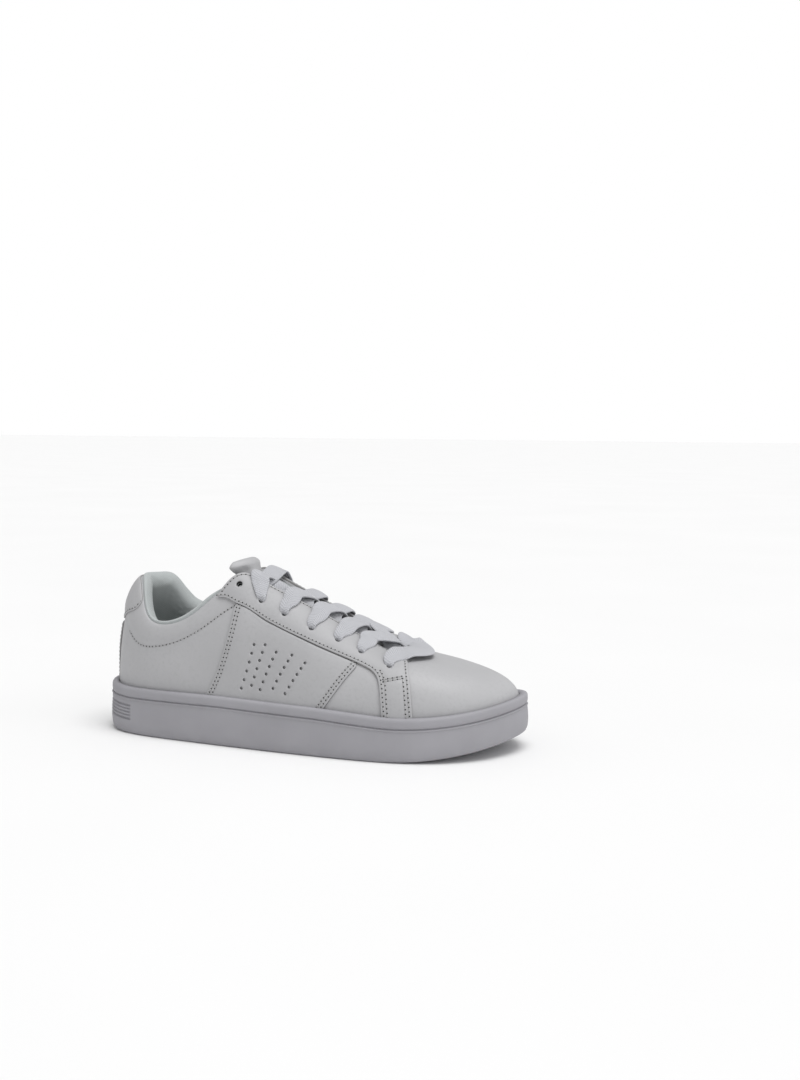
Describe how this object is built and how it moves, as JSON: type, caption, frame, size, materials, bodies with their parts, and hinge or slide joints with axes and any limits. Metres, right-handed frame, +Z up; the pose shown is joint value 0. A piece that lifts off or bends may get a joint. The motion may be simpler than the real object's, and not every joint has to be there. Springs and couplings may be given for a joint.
{
  "type": "court shoe",
  "caption": "Low-cut right court shoe: flat cupsole, leather upper with strap and swept side panel, padded collar and tongue, flat lace.",
  "frame": {"origin": "on the ground, under the middle of the sole's length and width", "axes": "+X to the toe, +Y to the inner (medial) side of this right shoe, +Z up"},
  "size_m": [0.296, 0.108, 0.1213],
  "materials": {
    "rubber": "matt moulded cupsole, light grey",
    "foam_sole": "closed-cell midsole foam",
    "board": "stitched fibre board",
    "leather": "smooth full-grain leather, light grey, slight sheen",
    "lining": "knitted lining, cool grey",
    "stiffener": "thermoplastic fibre stiffener",
    "padding": "open-cell foam",
    "lace": "flat woven lace, pale grey",
    "aglet": "clear acetate lace tip"
  },
  "bodies": {
    "rearfoot": {"cupsole_rear": "rubber", "midsole_rear": "foam_sole", "strobel_board_rear": "board", "sockliner_rear": "lining", "quarter_lateral": "leather", "quarter_medial": "leather", "quarter_lining_lateral": "lining", "quarter_lining_medial": "lining", "eyelet_facing_lateral": "lining", "eyelet_facing_medial": "lining", "eyestay_lateral": "leather", "eyestay_medial": "leather", "side_panel_lateral": "leather", "side_panel_medial": "leather", "vamp_flex": "leather", "vamp_lining_flex": "lining", "heel_counter": "stiffener", "heel_tab": "leather", "heel_patch": "leather", "collar_padding": "padding", "collar_lining": "lining", "tongue_base_leather": "leather", "tongue_base_foam": "padding", "tongue_base_lining": "lining", "lace": "lace", "aglet_lateral": "aglet", "aglet_medial": "aglet"},
    "forefoot": {"cupsole_front": "rubber", "midsole_front": "foam_sole", "strobel_board_front": "board", "sockliner_front": "lining", "vamp_toe": "leather", "vamp_lining_toe": "lining", "toe_puff": "stiffener"},
    "tongue_tip": {"tongue_tip_leather": "leather", "tongue_tip_foam": "padding", "tongue_tip_lining": "lining"}
  },
  "joints": [
    {"name": "toe_flex", "type": "hinge", "parent": "rearfoot", "child": "forefoot", "pos_m": [0.089, 0, 0.02], "axis": [0, -1, 0], "range_deg": [0, 30], "stiffness_Nm_per_rad": 3, "deforming": ["vamp_flex", "vamp_lining_flex"]},
    {"name": "tongue_fold", "type": "hinge", "parent": "rearfoot", "child": "tongue_tip", "pos_m": [-0.0335, 0, 0.087], "axis": [0, -1, 0], "range_deg": [0, 25], "stiffness_Nm_per_rad": 0.12}
  ]
}
